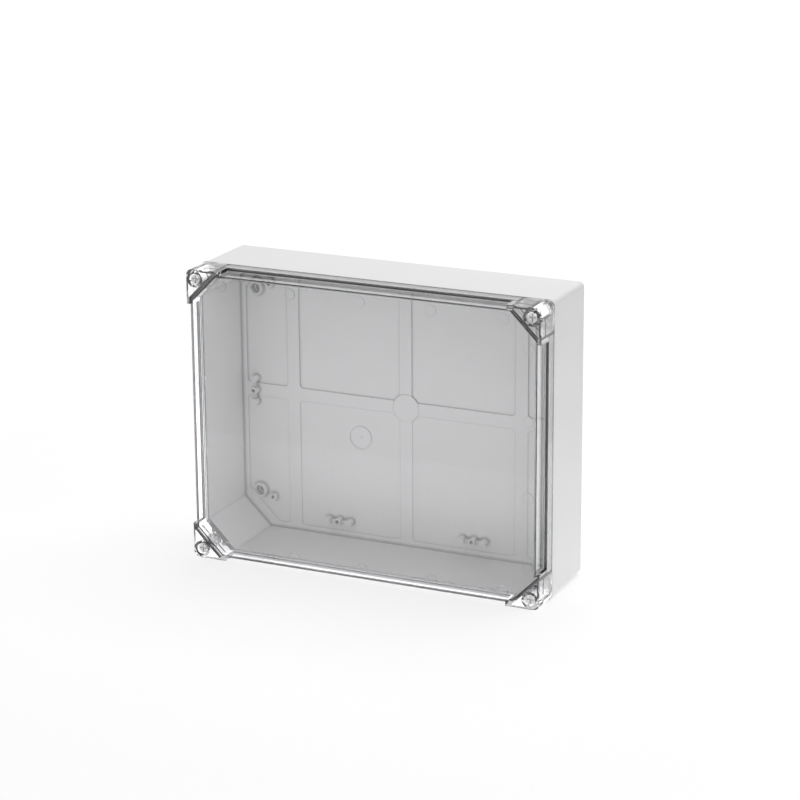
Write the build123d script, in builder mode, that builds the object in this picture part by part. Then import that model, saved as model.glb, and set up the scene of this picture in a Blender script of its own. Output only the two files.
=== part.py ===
from build123d import *
import os
from math import radians, sqrt, tan

os.makedirs("parts", exist_ok=True)

# A surface-mounting box for circuit modules, hung on a wall: X across, Z up, front facing -Y.
# The origin is the centre of the flat back, and every depth is measured from that back.

# Outline and draft, in degrees
box_width = 396.0
box_height = 316.0
corner_radius = 7.0
outer_draft = 0.4
inner_draft = 0.4

# Base
base_depth = 84.0
base_wall = 3.6
base_floor = 5.0
corner_cut = 38.5
diagonal_wall = 3.0
back_edge = 1.2
rim_band = 4.0
rim_step = 0.8
tongue_thickness = 1.7
tongue_height = 7.5
pocket_wall = 3.8
pocket_floor = 8.0

# Recessed back
back_rim = 14.0
back_corner_cut = 86.0
back_recess = 2.0

# Relief of the floor: four columns of fields, left between strips, round a central disc
strip_width = 13.6
side_strip_spacing = 263.2
field_margin = 10.4
field_diagonal_cut = 56.0
field_corner = 3.0
upper_field_depth = 1.0
lower_field_depth = 0.5
disc_radius = 15.0

# Wall-fixing wells, plate bosses and triple bosses
well_edge_x = 24.5
well_edge_z = 44.5
well_radius = 7.8
well_height = 5.0
well_bore = 5.8
well_seat = 3.0
wall_membrane = 0.8
wall_hole_radius = 2.75
plate_edge_x = 40.3
plate_edge_z = 38.7
plate_boss_radius = 3.9
plate_boss_height = 5.0
rail_spacing = 157.0
rail_edge = 22.5
side_boss_edge = 21.5
boss_height = 9.0
boss_radius = 3.8
boss_hole_radius = 2.1
boss_hole_depth = 8.0
lug_radius = 3.6
lug_pitch = 12.7
lug_web = 1.6
lug_web_drop = 2.0

# Lid
lid_depth = 33.5
lid_gap = 0.2
lid_inset = 0.3
flange_depth = 14.0
flange_top = 2.5
side_step = 4.2
side_draft = 1.8
pad_leg = 38.5
panel_thickness = 3.0
upper_wall = 2.4
lip_thickness = 1.4
lip_start = 5.5
fit_clearance = 0.2
pad_wall = 2.2
front_pad_wall = 2.7
pad_cut = 33.6
pad_web = 2.5
front_pocket_cut = 34.0
front_pocket_depth = 11.0
lid_edge = 0.8

# Gasket
gasket_clearance = 0.1

# Screws
screw_edge = 10.8
pillar_radius = 7.4
pillar_height = 7.0
tube_radius = 9.0
tube_gap = 0.3
tube_floor = 2.2
head_radius = 5.4
head_clearance = 0.4
head_recess = 2.0
head_seat_gap = 0.05
shank_radius = 3.0
shank_clearance = 0.05
shank_hole_clearance = 0.4
shank_engagement = 25.0
bore_spare = 3.0
slot_length = 8.4
slot_width = 1.7
slot_depth = 2.6
screw_chamfer = 0.5

# Worked out from the sizes above
lid_front = base_depth + lid_depth
back_step = rim_step + (base_depth - rim_band) * tan(radians(outer_draft))
floor_step = (base_depth - base_floor) * tan(radians(inner_draft))
groove_top = base_depth + flange_depth - flange_top
groove_bottom = base_depth + lip_start
tongue_top = base_depth + tongue_height
well_top = base_floor + well_height
pillar_top = base_depth + pillar_height
tube_bottom = pillar_top + tube_gap
head_seat = tube_bottom + tube_floor
head_front = lid_front - head_recess
tube_bore = head_radius + head_clearance
lip_clear = fit_clearance + lip_thickness
corner_signs = [(-1, 1), (1, 1), (-1, -1), (1, -1)]


def four_points(edge_x, edge_z):
    """Four places, one in each quarter, at distances from the long and the short edges."""
    return [(sx * (box_width / 2 - edge_x), sz * (box_height / 2 - edge_z)) for sx, sz in corner_signs]


screw_points = four_points(screw_edge, screw_edge)
well_points = four_points(well_edge_x, well_edge_z)
plate_points = four_points(plate_edge_x, plate_edge_z)
rail_points = four_points(box_width / 2 - rail_spacing / 2, rail_edge)
side_points = [(side_boss_edge - box_width / 2, 0), (box_width / 2 - side_boss_edge, 0)]


def at_depth(depth):
    """Sketch plane parallel to the wall, facing the front, at a depth in front of the back."""
    return Plane.XZ.offset(depth)


def octagon(inset, cut, grow=0.0):
    """Outline with straight sides inset from the box and diagonals that cut off its corners."""
    x = box_width / 2 - inset + grow
    z = box_height / 2 - inset + grow
    reach = box_width / 2 + box_height / 2 - cut + grow * sqrt(2)
    quarter = [(x, reach - x), (reach - z, z)]
    upper = quarter + [(-px, pz) for px, pz in reversed(quarter)]
    return upper + [(px, -pz) for px, pz in reversed(upper)]


def corner_hollows(inset, cut):
    """Draws the four hollows outside the diagonals, a wall's thickness inside the outline."""
    x = box_width / 2 - inset
    z = box_height / 2 - inset
    reach = box_width / 2 + box_height / 2 - cut
    for sx, sz in corner_signs:
        Polygon((sx * x, sz * z), (sx * x, sz * (reach - x)), (sx * (reach - z), sz * z), align=None)
    RectangleRounded(2 * x, 2 * z, corner_radius - inset, mode=Mode.INTERSECT)


def field_row(side):
    """Draws the four fields of the floor above (side 1) or below (side -1) the middle strip."""
    reach_x = box_width / 2 - field_margin
    reach_z = box_height / 2 - field_margin
    inner_x = side_strip_spacing / 2 - strip_width / 2
    outer_x = side_strip_spacing / 2 + strip_width / 2
    height = reach_z - strip_width / 2
    middle_z = side * (reach_z + strip_width / 2) / 2
    for sign in (-1, 1):
        with Locations((sign * (inner_x + strip_width / 2) / 2, middle_z)):
            Rectangle(inner_x - strip_width / 2, height)
        with Locations((sign * (outer_x + reach_x) / 2, middle_z)):
            Rectangle(reach_x - outer_x, height)


def triple_boss(x, z, along_x):
    """Draws the two solid lugs and the drilled boss between them."""
    dx, dz = (lug_pitch, 0) if along_x else (0, lug_pitch)
    with Locations((x, z)):
        Circle(boss_radius)
    with Locations((x - dx, z - dz), (x + dx, z + dz)):
        Circle(lug_radius)


with BuildPart() as base:
    with BuildSketch(at_depth(0)):
        RectangleRounded(box_width - 2 * back_step, box_height - 2 * back_step, corner_radius - back_step)
    extrude(amount=base_depth - rim_band, taper=-outer_draft)
    chamfer(base.faces().sort_by(Axis.Y)[-1].edges(), back_edge)
    # Band that stands proud round the rim
    with BuildSketch(at_depth(base_depth - rim_band)):
        RectangleRounded(box_width, box_height, corner_radius)
    extrude(amount=rim_band)
    # Tongue that enters the lid's groove
    with BuildSketch(at_depth(base_depth - base_wall)):
        Polygon(*octagon(base_wall, corner_cut, tongue_thickness), align=None)
    extrude(amount=base_wall + tongue_height)
    # Eight-sided inside
    with BuildSketch(at_depth(base_floor)):
        Polygon(*octagon(base_wall, corner_cut, -floor_step), align=None)
    extrude(amount=tongue_top - base_floor, taper=-inner_draft, mode=Mode.SUBTRACT)
    # Open corner pockets outside the seal
    with BuildSketch(at_depth(pocket_floor)):
        corner_hollows(pocket_wall, corner_cut - diagonal_wall * sqrt(2))
    extrude(amount=base_depth - pocket_floor, mode=Mode.SUBTRACT)
    # Screw pillars
    with BuildSketch(at_depth(pocket_floor)):
        with Locations(*screw_points):
            Circle(pillar_radius)
    extrude(amount=pillar_top - pocket_floor)
    with Locations(at_depth(pillar_top)):
        with Locations(*screw_points):
            Hole(shank_radius + shank_clearance, depth=shank_engagement + bore_spare)
    # Relief of the floor
    for side, depth in [(1, upper_field_depth), (-1, lower_field_depth)]:
        with BuildSketch(at_depth(base_floor)) as fields:
            field_row(side)
            chamfer(fields.vertices(), field_corner)
            Polygon(*octagon(field_margin, field_diagonal_cut), align=None, mode=Mode.INTERSECT)
            Circle(disc_radius, mode=Mode.SUBTRACT)
        extrude(amount=-depth, mode=Mode.SUBTRACT)
    # Recessed back, left full at the corners that hold the wall screws
    with BuildSketch(at_depth(0)):
        Polygon(*octagon(back_rim, back_corner_cut), align=None)
    extrude(amount=back_recess, mode=Mode.SUBTRACT)
    # Wall-fixing wells, whose holes stay closed by a membrane until a wall screw pierces it
    with BuildSketch(at_depth(base_floor - upper_field_depth)):
        with Locations(*well_points):
            Circle(well_radius)
    extrude(amount=well_height + upper_field_depth)
    with Locations(at_depth(well_top)):
        with Locations(*well_points):
            CounterBoreHole(wall_hole_radius, well_bore, well_top - well_seat, depth=well_top - wall_membrane)
    # Plate bosses
    with BuildSketch(at_depth(base_floor - upper_field_depth)):
        with Locations(*plate_points):
            Circle(plate_boss_radius)
    extrude(amount=plate_boss_height + upper_field_depth)
    with Locations(at_depth(base_floor + plate_boss_height)):
        with Locations(*plate_points):
            Hole(boss_hole_radius, depth=plate_boss_height)
    # Triple bosses along the long and the short sides
    with BuildSketch(at_depth(base_floor - upper_field_depth)):
        for x, z in rail_points:
            triple_boss(x, z, True)
        for x, z in side_points:
            triple_boss(x, z, False)
    extrude(amount=boss_height + upper_field_depth)
    with BuildSketch(at_depth(base_floor - upper_field_depth)):
        with Locations(*rail_points):
            Rectangle(2 * lug_pitch, lug_web)
        with Locations(*side_points):
            Rectangle(lug_web, 2 * lug_pitch)
    extrude(amount=boss_height + upper_field_depth - lug_web_drop)
    with Locations(at_depth(base_floor + boss_height)):
        with Locations(*rail_points, *side_points):
            Hole(boss_hole_radius, depth=boss_hole_depth)


with BuildPart() as lid:
    # Block flush with the base, then the four straight sides step in above the flange
    with BuildSketch(at_depth(base_depth + lid_gap)):
        RectangleRounded(box_width - 2 * lid_inset, box_height - 2 * lid_inset, corner_radius)
    extrude(amount=lid_depth - lid_gap, taper=outer_draft)
    with BuildSketch(at_depth(base_depth + flange_depth)):
        with Locations((-box_width / 2, 0), (box_width / 2, 0)):
            Rectangle(2 * side_step, box_height - 2 * pad_leg)
        with Locations((0, -box_height / 2), (0, box_height / 2)):
            Rectangle(box_width - 2 * pad_leg, 2 * side_step)
    extrude(amount=lid_depth - flange_depth, taper=-side_draft, mode=Mode.SUBTRACT)
    chamfer(lid.faces().sort_by(Axis.Y)[0].edges(), lid_edge)
    # Inside of the panel, and the wider inside of the flange
    with BuildSketch(at_depth(groove_top)):
        Polygon(*octagon(side_step + upper_wall, corner_cut + lip_clear * sqrt(2)), align=None)
    extrude(amount=lid_front - panel_thickness - groove_top, taper=side_draft, mode=Mode.SUBTRACT)
    with BuildSketch(at_depth(base_depth + lid_gap)):
        Polygon(*octagon(base_wall, corner_cut, tongue_thickness + fit_clearance), align=None)
    extrude(amount=groove_bottom - base_depth - lid_gap, mode=Mode.SUBTRACT)
    with BuildSketch(at_depth(groove_bottom)):
        Polygon(*octagon(base_wall, corner_cut, tongue_thickness + fit_clearance), align=None)
        Polygon(*octagon(base_wall, corner_cut, -fit_clearance), align=None, mode=Mode.SUBTRACT)
        Polygon(*octagon(base_wall, corner_cut, -lip_clear), align=None)
    extrude(amount=groove_top - groove_bottom, mode=Mode.SUBTRACT)
    # Hollow corner pads, open at the back
    with BuildSketch(at_depth(base_depth + lid_gap)):
        corner_hollows(lid_inset + pad_wall, pad_cut)
    extrude(amount=lid_depth - lid_gap - front_pocket_depth - pad_web, mode=Mode.SUBTRACT)
    with BuildSketch(at_depth(tube_bottom)):
        with Locations(*screw_points):
            Circle(tube_radius)
    extrude(amount=lid_front - front_pocket_depth - tube_bottom)
    # Pockets in the front of the pads, either side of the screw tubes
    with BuildSketch(at_depth(lid_front - front_pocket_depth)):
        corner_hollows(lid_inset + front_pad_wall, front_pocket_cut)
        with Locations(*screw_points):
            Circle(tube_radius, mode=Mode.SUBTRACT)
        for sx, sz in corner_signs:
            with Locations((sx * (box_width - screw_edge) / 2, sz * (box_height - screw_edge) / 2)):
                Rectangle(screw_edge, screw_edge, mode=Mode.SUBTRACT)
    extrude(amount=front_pocket_depth, mode=Mode.SUBTRACT)
    with Locations(at_depth(lid_front)):
        with Locations(*screw_points):
            CounterBoreHole(shank_radius + shank_hole_clearance, tube_bore, lid_front - head_seat)


with BuildPart() as gasket:
    with BuildSketch(at_depth(tongue_top + gasket_clearance)):
        Polygon(*octagon(base_wall, corner_cut, tongue_thickness + fit_clearance - gasket_clearance), align=None)
        Polygon(*octagon(base_wall, corner_cut, gasket_clearance - fit_clearance), align=None, mode=Mode.SUBTRACT)
    extrude(amount=groove_top - tongue_top - gasket_clearance)


def lid_screw(x, z):
    """Captive screw with a long round head, a cross recess and a plain shank."""
    with BuildPart() as screw:
        with BuildSketch(at_depth(head_seat + head_seat_gap)):
            with Locations((x, z)):
                Circle(head_radius)
        extrude(amount=head_front - head_seat - head_seat_gap)
        chamfer(screw.faces().sort_by(Axis.Y)[0].edges(), screw_chamfer)
        with BuildSketch(at_depth(pillar_top - shank_engagement)):
            with Locations((x, z)):
                Circle(shank_radius)
        extrude(amount=head_seat + head_seat_gap - pillar_top + shank_engagement)
        with BuildSketch(at_depth(head_front)):
            with Locations((x, z)):
                Rectangle(slot_length, slot_width)
                Rectangle(slot_width, slot_length)
        extrude(amount=-slot_depth, mode=Mode.SUBTRACT)
    return screw.part


base.part.label = "base"
export_step(base.part, "parts/base.step")
lid.part.label = "lid"
export_step(lid.part, "parts/lid.step")
gasket.part.label = "gasket"
export_step(gasket.part, "parts/gasket.step")

screw_names = ["screw_top_left", "screw_top_right", "screw_bottom_left", "screw_bottom_right"]
for name, (x, z) in zip(screw_names, screw_points):
    screw_part = lid_screw(x, z)
    screw_part.label = name
    export_step(screw_part, f"parts/{name}.step")
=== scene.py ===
import math

import bpy
from bpy.props import FloatProperty, FloatVectorProperty, PointerProperty
from bpy.types import Operator, Panel, PropertyGroup
from mathutils import Matrix, Vector


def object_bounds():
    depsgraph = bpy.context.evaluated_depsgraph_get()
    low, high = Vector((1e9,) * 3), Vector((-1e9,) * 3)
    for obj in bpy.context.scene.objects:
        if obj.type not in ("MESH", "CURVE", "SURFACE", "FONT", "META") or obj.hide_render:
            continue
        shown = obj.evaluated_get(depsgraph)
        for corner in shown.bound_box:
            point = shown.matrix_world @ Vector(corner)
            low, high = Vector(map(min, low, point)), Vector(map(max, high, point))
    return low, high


bl_info = {
    "name": "Clear-lidded enclosure",
    "version": (1, 0, 0),
    "blender": (4, 5, 0),
    "location": "3D View > Sidebar > Enclosure",
    "description": "Dresses a wall-mounting moulded enclosure with a clear lid",
    "category": "Object",
}

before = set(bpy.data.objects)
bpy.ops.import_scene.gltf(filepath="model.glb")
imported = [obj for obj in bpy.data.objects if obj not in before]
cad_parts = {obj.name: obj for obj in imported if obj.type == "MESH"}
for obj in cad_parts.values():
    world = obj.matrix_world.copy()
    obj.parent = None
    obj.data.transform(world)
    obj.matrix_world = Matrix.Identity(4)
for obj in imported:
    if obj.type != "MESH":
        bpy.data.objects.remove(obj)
CAD_BOX = [list(corner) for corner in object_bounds()]

SCREWS = [name for name in sorted(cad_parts) if name.startswith("screw_")]

MM = 0.001
# Most of a noise texture's values lie between these two
NOISE_LOW, NOISE_HIGH = 0.3, 0.7
# Size of the soft changes of tone and gloss over a moulding
DRIFT = 60 * MM
# Width of the soft shoulder round a mark of the mould
SHOULDER = 0.5 * MM
# At the middle of the base, the floor's inner face is in front of this y and the back behind it
FLOOR_FACE = -3.5 * MM
# Half the width of the painted shade line round the middle disc, and its tone at the lower and the
# upper edge:
# the light from above leaves the upper one darker
SHADE_LINE_HALF = 0.9 * MM
SHADE_LINE_LOWER, SHADE_LINE_UPPER = 0.88, 0.6
# Half the width of the lid's gate ring, and radius of the nub in it
RING_HALF = 0.6 * MM
NUB_RADIUS = 1.8 * MM
# The lid's outer face ends less than this behind the front
LID_SKIN = 1 * MM
# Half the side of the floor, and the distances between which its near white turns to its far white
FLOOR_HALF = 6.0
FADE_START, FADE_END = 0.6, 3.5


def from_hex(code):
    """Linear colour of an sRGB hex code."""
    values = [int(code[i:i + 2], 16) / 255 for i in (0, 2, 4)]
    return [v / 12.92 if v <= 0.04045 else ((v + 0.055) / 1.055) ** 2.4 for v in values]


def opaque(colour):
    """Colour with the alpha that a shader socket takes."""
    return (*colour, 1.0)


class EnclosureFinish(PropertyGroup):
    """Colours and surface of the moulded pieces"""

    base_colour: FloatVectorProperty(
        name="Base colour", description="Through-dyed colour of the base moulding",
        subtype="COLOR", size=3, min=0.0, max=1.0, default=from_hex("D8D8D8"))
    base_roughness: FloatProperty(
        name="Base roughness", description="How satin the base's skin is",
        subtype="FACTOR", min=0.0, max=1.0, default=0.42)
    grain: FloatProperty(
        name="Grain", description="Size of the spark-eroded grain that the mould leaves",
        subtype="DISTANCE", unit="LENGTH", min=0.1 * MM, max=5 * MM, default=1.2 * MM)
    disc_radius: FloatProperty(
        name="Disc radius", description="Radius of the disc in the middle of the base's floor",
        subtype="DISTANCE", unit="LENGTH", min=2 * MM, max=60 * MM, default=15 * MM)
    # Painted shade in the base's nooks: how far it reaches and how deep it is
    nook_shade_reach: FloatProperty(
        name="Nook reach", description="How far the darker tone reaches out of nooks",
        subtype="DISTANCE", unit="LENGTH", min=0.5 * MM, max=50 * MM, default=4 * MM)
    nook_shade_depth: FloatProperty(
        name="Nook tone", description="How much darker the nooks are",
        min=0.0, max=4.0, default=1.05)
    lid_colour: FloatVectorProperty(
        name="Lid colour", description="Tint of the clear lid",
        subtype="COLOR", size=3, min=0.0, max=1.0, default=from_hex("FBFBFC"))
    screw_colour: FloatVectorProperty(
        name="Screw colour", description="Natural colour of the nylon screws",
        subtype="COLOR", size=3, min=0.0, max=1.0, default=from_hex("F4F4F3"))
    gasket_colour: FloatVectorProperty(
        name="Gasket colour", description="Colour of the foamed seal",
        subtype="COLOR", size=3, min=0.0, max=1.0, default=from_hex("6F6F6F"))


class EnclosureMarks(PropertyGroup):
    """Marks that the mould leaves on the lid's inner face"""

    pin_radius: FloatProperty(
        name="Pin mark radius", description="Radius of an ejector pin's round mark",
        subtype="DISTANCE", unit="LENGTH", min=1 * MM, max=20 * MM, default=6 * MM)
    pin_spacing: FloatProperty(
        name="Pin spacing", description="Distance between pins along the long sides",
        subtype="DISTANCE", unit="LENGTH", min=20 * MM, max=200 * MM, default=78.5 * MM)
    pin_row: FloatProperty(
        name="Pin row height", description="Height of the rows above and below the middle",
        subtype="DISTANCE", unit="LENGTH", min=20 * MM, max=200 * MM, default=142.4 * MM)
    column_x: FloatProperty(
        name="Pin column", description="Distance of the pin columns from the middle",
        subtype="DISTANCE", unit="LENGTH", min=20 * MM, max=250 * MM, default=184 * MM)
    column_inner: FloatProperty(
        name="Column's inner pins", description="Height of a column's inner pins from the middle",
        subtype="DISTANCE", unit="LENGTH", min=5 * MM, max=200 * MM, default=39.8 * MM)
    column_outer: FloatProperty(
        name="Column's outer pins", description="Height of a column's outer pins from the middle",
        subtype="DISTANCE", unit="LENGTH", min=5 * MM, max=200 * MM, default=114.7 * MM)
    gate_radius: FloatProperty(
        name="Gate ring radius", description="Radius of the ring round the mould's filling point",
        subtype="DISTANCE", unit="LENGTH", min=2 * MM, max=40 * MM, default=12 * MM)


class EnclosureStage(PropertyGroup):
    """Studio round the enclosure"""

    top_power: FloatProperty(
        name="Top light", description="Power of the overhead softbox",
        unit="POWER", min=0.0, max=1000.0, default=56.0)
    left_power: FloatProperty(
        name="Left light", description="Power of the softbox at the left",
        unit="POWER", min=0.0, max=1000.0, default=4.0)
    right_power: FloatProperty(
        name="Right light", description="Power of the softbox at the right",
        unit="POWER", min=0.0, max=1000.0, default=9.4)
    surround: FloatProperty(
        name="Surround", description="Level of the even light from all round",
        min=0.0, max=2.0, default=0.22)
    table_power: FloatProperty(
        name="Light table", description="Power of the light table under the enclosure",
        unit="POWER", min=0.0, max=100.0, default=1.55)
    front_power: FloatProperty(
        name="Light table's front", description="Power of the light table's front part",
        unit="POWER", min=0.0, max=100.0, default=0.2)
    floor_light: FloatProperty(
        name="Floor light", description="Even light that the floor gives off",
        min=0.0, max=2.0, default=0.07)
    floor_glow: FloatProperty(
        name="Floor glow", description="White that is added where the floor shows in the plastic",
        min=0.0, max=1.0, default=0.6)
    floor_near: FloatProperty(
        name="Floor white, near", description="White of the floor's picture round the enclosure",
        min=0.0, max=1.0, default=0.76)
    floor_far: FloatProperty(
        name="Floor white, far", description="White of the floor's picture in the distance",
        min=0.0, max=1.0, default=1.0)
    camera_place: FloatVectorProperty(
        name="Camera place", description="Where the photograph was taken from",
        subtype="XYZ", unit="LENGTH", size=3, default=(1.178, -2.546, 0.872))
    turn: FloatProperty(
        name="Camera turn", description="Turn to the left of straight ahead",
        subtype="ANGLE", unit="ROTATION", default=math.radians(25.01))
    tilt: FloatProperty(
        name="Camera tilt", description="Angle that the camera looks down",
        subtype="ANGLE", unit="ROTATION", default=math.radians(17.13))
    lean: FloatProperty(
        name="Camera lean", description="Roll of the camera about its own line of sight",
        subtype="ANGLE", unit="ROTATION", default=math.radians(-0.41))
    lens: FloatProperty(
        name="Lens", description="Focal length on a 36 mm sensor, in millimetres",
        subtype="DISTANCE_CAMERA", min=10.0, max=500.0, default=125.5)


def add_node(tree, kind, inputs=None, **settings):
    """Adds a shader node with its settings, its input values and the links into it."""
    node = tree.nodes.new("ShaderNode" + kind)
    for name, value in settings.items():
        setattr(node, name, value)
    for key, value in (inputs or {}).items():
        if isinstance(value, bpy.types.NodeSocket):
            tree.links.new(value, node.inputs[key])
        else:
            node.inputs[key].default_value = value
    return node


def new_material(name):
    """Empty material with its output node, returned as material, tree and output."""
    material = bpy.data.materials.new(name)
    material.use_nodes = True
    material.node_tree.nodes.clear()
    return material, material.node_tree, add_node(material.node_tree, "OutputMaterial")


def math_node(tree, operation, *values):
    """Result of one arithmetic step."""
    return add_node(tree, "Math", dict(enumerate(values)), operation=operation).outputs[0]


def flat_distance(tree, across, along):
    """Distance from the origin of the two values' plane."""
    square = math_node(tree, "MULTIPLY", across, across)
    return math_node(tree, "SQRT", math_node(tree, "MULTIPLY_ADD", along, along, square))


def step_up(tree, distance, edge):
    """0 inside the edge and 1 outside, with a soft shoulder."""
    return add_node(tree, "MapRange", {
        "Value": distance, "From Min": edge - SHOULDER, "From Max": edge},
        interpolation_type="SMOOTHSTEP").outputs["Result"]


def moulded_grain(tree, place, grain, depth):
    """Normal of a spark-eroded skin, and a factor that varies softly over it."""
    # A real spark-eroded grain is too fine to show at this size, so it is drawn coarser
    fine = add_node(tree, "TexNoise", {"Vector": place, "Scale": 1 / grain, "Detail": 2.0})
    broad = add_node(tree, "TexNoise", {"Vector": place, "Scale": 1 / DRIFT, "Detail": 1.0})
    bump = add_node(tree, "Bump", {"Height": fine.outputs["Fac"], "Strength": 0.25,
                                   "Distance": depth})
    return bump.outputs["Normal"], broad.outputs["Fac"]


def moulded_thermoplastic(finish):
    """Light grey injection-moulded ABS: satin, with an even fine grain and soft highlights, and
    painted shade in its nooks and round the floor's middle disc.
    """
    material, tree, output = new_material("moulded_thermoplastic_light_grey")
    place = add_node(tree, "TexCoord").outputs["Object"]
    normal, broad = moulded_grain(tree, place, finish.grain, 0.02 * MM)
    low, high = (finish.base_roughness + step for step in (-0.05, 0.05))
    rough = add_node(tree, "MapRange", {"Value": broad, "From Min": NOISE_LOW, "From Max": NOISE_HIGH,
                                        "To Min": low, "To Max": high})
    tone = add_node(tree, "MapRange", {"Value": broad, "From Min": NOISE_LOW, "From Max": NOISE_HIGH,
                                       "To Min": 0.985, "To Max": 1.0})
    # Steps, holes and the roots of bosses get a painted contact shade, as deep as the photograph
    # shows it
    nook_shade = add_node(tree, "AmbientOcclusion", {"Distance": finish.nook_shade_reach}, samples=8)
    contact_shade = math_node(tree, "POWER", nook_shade.outputs["AO"], finish.nook_shade_depth)
    # Painted shade in a line round the mould's centre disc, which runs on over the strips of the
    # floor
    x, y, z = add_node(tree, "SeparateXYZ", {"Vector": place}).outputs
    off_disc = math_node(tree, "SUBTRACT", flat_distance(tree, x, z), finish.disc_radius)
    depth = add_node(tree, "MapRange", {
        "Value": z, "From Min": -finish.disc_radius, "From Max": finish.disc_radius,
        "To Min": SHADE_LINE_LOWER, "To Max": SHADE_LINE_UPPER})
    shade_line = add_node(tree, "MapRange", {
        "Value": math_node(tree, "ABSOLUTE", off_disc), "From Min": 0.0, "From Max": SHADE_LINE_HALF,
        "To Min": depth.outputs["Result"], "To Max": 1.0}, interpolation_type="SMOOTHSTEP")
    # The painted shade line is only on the floor's inner face, not on the base's back
    inside = math_node(tree, "LESS_THAN", y, FLOOR_FACE)
    drawn = add_node(tree, "MapRange", {"Value": inside, "To Min": 1.0,
                                        "To Max": shade_line.outputs["Result"]})
    # Painted shade: the nooks' contact shade times the line round the disc
    darker = math_node(tree, "MULTIPLY", contact_shade, drawn.outputs["Result"])
    colour = add_node(tree, "HueSaturation", {
        "Color": opaque(finish.base_colour),
        "Value": math_node(tree, "MULTIPLY", tone.outputs["Result"], darker)})
    shader = add_node(tree, "BsdfPrincipled", {
        "Base Color": colour.outputs["Color"], "Roughness": rough.outputs["Result"],
        "IOR": 1.52, "Normal": normal})
    tree.links.new(shader.outputs[0], output.inputs["Surface"])
    return material


def clear_polycarbonate(finish, marks):
    """Clear injection-moulded polycarbonate: glass-bright, with the mould's faint round marks."""
    material, tree, output = new_material("clear_polycarbonate")
    place = add_node(tree, "TexCoord").outputs["Object"]
    x, y, z = add_node(tree, "SeparateXYZ", {"Vector": place}).outputs
    side, height = (math_node(tree, "ABSOLUTE", value) for value in (x, z))
    # Distance to the nearest pin of the rows along the long sides, and of the columns at the ends
    row = flat_distance(tree, math_node(tree, "PINGPONG", side, marks.pin_spacing / 2),
                        math_node(tree, "SUBTRACT", height, marks.pin_row))
    middle = (marks.column_inner + marks.column_outer) / 2
    half = (marks.column_outer - marks.column_inner) / 2
    pair = math_node(tree, "ABSOLUTE", math_node(tree, "SUBTRACT", height, middle))
    column = flat_distance(tree, math_node(tree, "SUBTRACT", side, marks.column_x),
                           math_node(tree, "SUBTRACT", pair, half))
    pins = step_up(tree, math_node(tree, "MINIMUM", row, column), marks.pin_radius)
    # A low ring round the filling point, and the nub where the runner was cut off
    centre = flat_distance(tree, side, height)
    ring = step_up(tree, math_node(tree, "ABSOLUTE", math_node(
        tree, "SUBTRACT", centre, marks.gate_radius)), RING_HALF)
    nub = step_up(tree, centre, NUB_RADIUS)
    marked = math_node(tree, "MULTIPLY", pins, math_node(tree, "MULTIPLY", ring, nub))
    # The marks are on the inner face only
    inner = math_node(tree, "GREATER_THAN", y, CAD_BOX[0][1] + LID_SKIN)
    relief = math_node(tree, "MULTIPLY", inner, marked)
    bump = add_node(tree, "Bump", {"Height": relief, "Strength": 0.6, "Distance": 0.3 * MM})
    # Each mark's shoulder bends the light away; that shade is painted into the colour as a fine
    # darker line. The product is a quarter at most, so four times it runs from 0 to 1
    shoulder = math_node(tree, "MULTIPLY", inner, math_node(
        tree, "MULTIPLY", marked, math_node(tree, "SUBTRACT", 1.0, marked)))
    tint_with_painted_shade = add_node(tree, "Mix", {0: math_node(tree, "MULTIPLY", shoulder, 4.0),
                                  6: opaque(finish.lid_colour), 7: opaque(from_hex("C8C8CC"))},
                    data_type="RGBA").outputs[2]
    shader = add_node(tree, "BsdfPrincipled", {
        "Base Color": tint_with_painted_shade, "Roughness": 0.02, "IOR": 1.585,
        "Transmission Weight": 1.0, "Normal": bump.outputs["Normal"]})
    # Lamps shine through the lid, as they do through real clear plastic
    path = add_node(tree, "LightPath")
    pane = add_node(tree, "BsdfTransparent", {"Color": opaque(finish.lid_colour)})
    mix = add_node(tree, "MixShader", {0: path.outputs["Is Shadow Ray"], 1: shader.outputs[0],
                                       2: pane.outputs[0]})
    tree.links.new(mix.outputs[0], output.inputs["Surface"])
    return material


def foamed_seal(finish):
    """Foamed polyurethane seal: matt, with its pores drawn coarser than the real ones, to show."""
    material, tree, output = new_material("foamed_polyurethane_seal")
    place = add_node(tree, "TexCoord").outputs["Object"]
    pores = add_node(tree, "TexVoronoi", {"Vector": place, "Scale": 1 / (0.8 * MM)})
    bump = add_node(tree, "Bump", {"Height": pores.outputs["Distance"], "Strength": 0.3,
                                   "Distance": 0.1 * MM})
    shader = add_node(tree, "BsdfPrincipled", {
        "Base Color": opaque(finish.gasket_colour), "Roughness": 0.8, "IOR": 1.5,
        "Normal": bump.outputs["Normal"]})
    tree.links.new(shader.outputs[0], output.inputs["Surface"])
    return material


def moulded_nylon(finish):
    """Natural nylon: off-white, waxy and a little translucent, so its edges look soft."""
    material, tree, output = new_material("moulded_nylon_natural")
    place = add_node(tree, "TexCoord").outputs["Object"]
    normal, broad = moulded_grain(tree, place, 0.6 * MM, 0.01 * MM)
    rough = add_node(tree, "MapRange", {"Value": broad, "To Min": 0.3, "To Max": 0.4})
    shader = add_node(tree, "BsdfPrincipled", {
        "Base Color": opaque(finish.screw_colour), "Roughness": rough.outputs["Result"],
        "IOR": 1.53, "Subsurface Weight": 0.2, "Subsurface Radius": (2 * MM, 2 * MM, 2 * MM),
        "Normal": normal})
    tree.links.new(shader.outputs[0], output.inputs["Surface"])
    return material


def dress(names, material):
    """Gives CAD nodes their material."""
    for name in names:
        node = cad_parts[name]
        node.data.materials.clear()
        node.data.materials.append(material)


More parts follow.
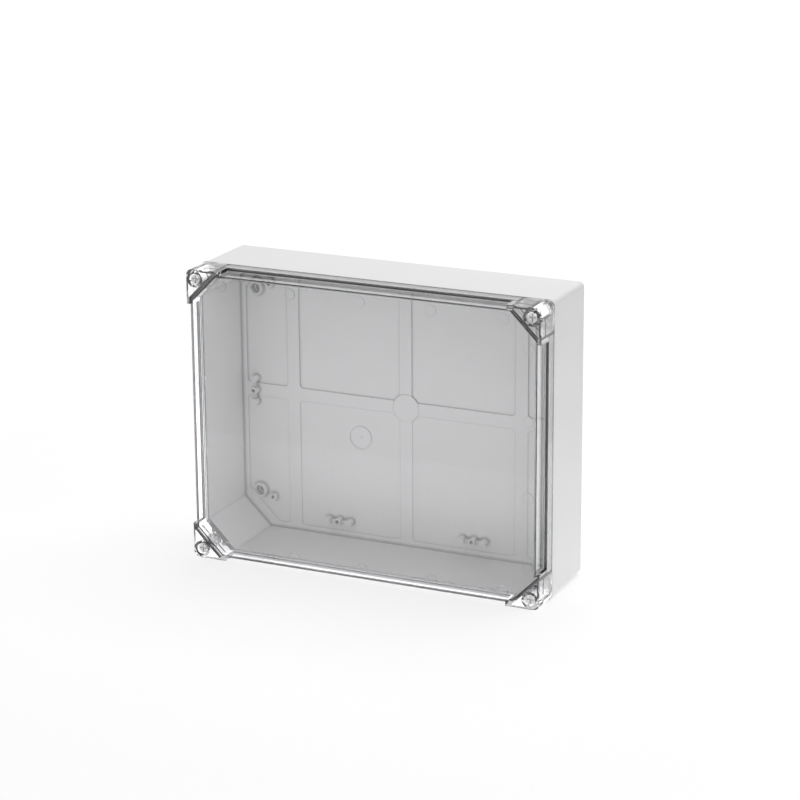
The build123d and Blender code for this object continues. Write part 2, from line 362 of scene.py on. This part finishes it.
class EnclosureBase(Operator):
    """Gives the base its moulded finish"""

    bl_idname = "enclosure.base"
    bl_label = "Dress the base"

    def execute(self, context):
        dress(["base"], moulded_thermoplastic(context.scene.enclosure_finish))
        return {"FINISHED"}


class EnclosureLid(Operator):
    """Gives the lid its clear finish"""

    bl_idname = "enclosure.lid"
    bl_label = "Dress the lid"

    def execute(self, context):
        scene = context.scene
        material = clear_polycarbonate(scene.enclosure_finish, scene.enclosure_marks)
        dress(["lid"], material)
        return {"FINISHED"}


class EnclosureGasket(Operator):
    """Gives the gasket its foamed finish"""

    bl_idname = "enclosure.gasket"
    bl_label = "Dress the gasket"

    def execute(self, context):
        dress(["gasket"], foamed_seal(context.scene.enclosure_finish))
        return {"FINISHED"}


class EnclosureScrews(Operator):
    """Gives the lid screws their nylon finish"""

    bl_idname = "enclosure.screws"
    bl_label = "Dress the screws"

    def execute(self, context):
        dress(SCREWS, moulded_nylon(context.scene.enclosure_finish))
        return {"FINISHED"}


def seen_rays(tree):
    """1 for what is seen directly, in a reflection or through the lid, and otherwise 0."""
    path = add_node(tree, "LightPath")
    mirrored = math_node(tree, "MAXIMUM", path.outputs["Is Glossy Ray"],
                         path.outputs["Is Transmission Ray"])
    return math_node(tree, "MAXIMUM", path.outputs["Is Camera Ray"], mirrored)


def painted_floor(settings):
    """Matt white light table: bright where it is seen, with the enclosure's soft shadow."""
    material, tree, output = new_material("painted_studio_floor")
    direct = add_node(tree, "LightPath").outputs["Is Camera Ray"]
    # The camera sees part of the paint's light and part of its own glow, so the soft shadow stays
    shade = add_node(tree, "MapRange", {"Value": direct, "To Min": from_hex("E6E6E6")[0],
                                        "To Max": from_hex("8C8C8C")[0]})
    paint = add_node(tree, "BsdfDiffuse", {"Color": shade.outputs["Result"]})
    place = add_node(tree, "TexCoord").outputs["Object"]
    away = add_node(tree, "VectorMath", {0: place, 1: (0.0, 0.0, CAD_BOX[0][2])},
                    operation="DISTANCE")
    white = add_node(tree, "MapRange", {
        "Value": away.outputs["Value"], "From Min": FADE_START, "From Max": FADE_END,
        "To Min": settings.floor_near, "To Max": settings.floor_far})
    unseen = math_node(tree, "MULTIPLY_ADD", seen_rays(tree), settings.floor_glow,
                       settings.floor_light)
    level = add_node(tree, "MapRange", {"Value": direct, "To Min": unseen,
                                        "To Max": white.outputs["Result"]})
    glow = add_node(tree, "Emission", {"Strength": level.outputs["Result"]})
    both = add_node(tree, "AddShader", {0: paint.outputs[0], 1: glow.outputs[0]})
    tree.links.new(both.outputs[0], output.inputs["Surface"])
    # Rays find the floor by themselves, so what they see of it doesn't depend on the lamps
    material.cycles.emission_sampling = "NONE"
    return material


def floor_plane(height, settings):
    """Level floor that reaches past what the camera sees."""
    mesh = bpy.data.meshes.new("studio_floor")
    corners = [(x * FLOOR_HALF, y * FLOOR_HALF, height)
               for x, y in ((-1, -1), (1, -1), (1, 1), (-1, 1))]
    mesh.from_pydata(corners, [], [(0, 1, 2, 3)])
    mesh.materials.append(painted_floor(settings))
    floor = bpy.data.objects.new("studio_floor", mesh)
    bpy.context.scene.collection.objects.link(floor)


def soft_surround(scene, level):
    """World that is white where it is seen, and a soft even light elsewhere."""
    world = bpy.data.worlds.new("studio_surround")
    scene.world = world
    world.cycles.sampling_method = "NONE"
    world.use_nodes = True
    tree = world.node_tree
    tree.nodes.clear()
    strength = add_node(tree, "MapRange", {"Value": seen_rays(tree), "To Min": level, "To Max": 1.0})
    light = add_node(tree, "Background", {"Color": (1.0, 1.0, 1.0, 1.0),
                                          "Strength": strength.outputs["Result"]})
    output = add_node(tree, "OutputWorld")
    tree.links.new(light.outputs[0], output.inputs["Surface"])


def area_lamp(name, shape, power):
    """Area lamp in the scene, not yet sized or placed."""
    data = bpy.data.lights.new(name, "AREA")
    data.shape = shape
    data.energy = power
    lamp = bpy.data.objects.new(name, data)
    bpy.context.scene.collection.objects.link(lamp)
    return lamp


def softbox(name, place, size, power, aim=(0.0, 0.0, 0.0)):
    """Square area lamp aimed at the enclosure."""
    lamp = area_lamp(name, "SQUARE", power)
    lamp.data.size = size
    lamp.location = place
    lamp.rotation_euler = (lamp.location - Vector(aim)).to_track_quat("Z", "Y").to_euler()


def table_light(name, middle, size, power):
    """Rectangle of the light table, level with the floor and shining up."""
    # The camera and the reflections in the lid see the floor in its place
    lamp = area_lamp(name, "RECTANGLE", power)
    lamp.data.size, lamp.data.size_y = size
    lamp.location = (*middle, CAD_BOX[0][2] + 0.5 * MM)
    lamp.rotation_euler = (math.pi, 0.0, 0.0)
    lamp.visible_camera = lamp.visible_glossy = False


def photograph_camera(scene, settings):
    """Camera at the photograph's place, turn, tilt and lean."""
    data = bpy.data.cameras.new("photograph_view")
    data.sensor_width = 36.0
    data.lens = settings.lens
    camera = bpy.data.objects.new("photograph_view", data)
    scene.collection.objects.link(camera)
    turn = Matrix.Rotation(settings.turn, 4, "Z")
    tilt = Matrix.Rotation(math.pi / 2 - settings.tilt, 4, "X")
    lean = Matrix.Rotation(settings.lean, 4, "Z")
    camera.matrix_world = Matrix.Translation(settings.camera_place) @ turn @ tilt @ lean
    scene.camera = camera


class EnclosureStudio(Operator):
    """Builds the floor, the lights and the camera"""

    bl_idname = "enclosure.studio"
    bl_label = "Build the studio"

    def execute(self, context):
        scene = context.scene
        settings = scene.enclosure_stage
        scene.view_settings.view_transform = "Standard"
        floor_plane(CAD_BOX[0][2], settings)
        soft_surround(scene, settings.surround)
        softbox("top_softbox", place=(0.2, 0.7, 2.3), size=2.0, power=settings.top_power)
        softbox("left_softbox", place=(-2.6, -1.2, 0.9), size=1.6, power=settings.left_power)
        softbox("right_softbox", place=(2.4, -0.6, 0.5), size=1.2, power=settings.right_power,
                aim=(0.0, -0.06, 0.0))
        table_light("light_table", middle=(0.0, -0.05), size=(1.1, 0.9),
                    power=settings.table_power)
        table_light("light_table_front", middle=(0.0, -0.6), size=(0.9, 0.5),
                    power=settings.front_power)
        photograph_camera(scene, settings)
        return {"FINISHED"}


class EnclosurePanel(Panel):
    """Lists the enclosure's pieces, finishes and studio"""

    bl_idname = "VIEW3D_PT_enclosure"
    bl_label = "Enclosure"
    bl_space_type = "VIEW_3D"
    bl_region_type = "UI"
    bl_category = "Enclosure"

    def draw(self, context):
        layout = self.layout
        for group in (context.scene.enclosure_finish, context.scene.enclosure_marks,
                      context.scene.enclosure_stage):
            for name in group.__annotations__:
                layout.prop(group, name)
        for operator in OPERATORS:
            layout.operator(operator.bl_idname)


GROUPS = {"enclosure_finish": EnclosureFinish, "enclosure_marks": EnclosureMarks,
          "enclosure_stage": EnclosureStage}
OPERATORS = (EnclosureStudio, EnclosureBase, EnclosureLid, EnclosureGasket, EnclosureScrews)


def register():
    """Registers the classes and puts their settings on the scene."""
    for each in (*GROUPS.values(), *OPERATORS, EnclosurePanel):
        bpy.utils.register_class(each)
    for name, group in GROUPS.items():
        setattr(bpy.types.Scene, name, PointerProperty(type=group))


def unregister():
    """Takes the settings and the classes away again."""
    for name in GROUPS:
        delattr(bpy.types.Scene, name)
    for each in (EnclosurePanel, *reversed(OPERATORS), *GROUPS.values()):
        bpy.utils.unregister_class(each)


def main():
    """Builds the studio and dresses every piece."""
    register()
    bpy.ops.enclosure.studio()
    bpy.ops.enclosure.base()
    bpy.ops.enclosure.lid()
    bpy.ops.enclosure.gasket()
    bpy.ops.enclosure.screws()


if __name__ == "__main__":
    main()
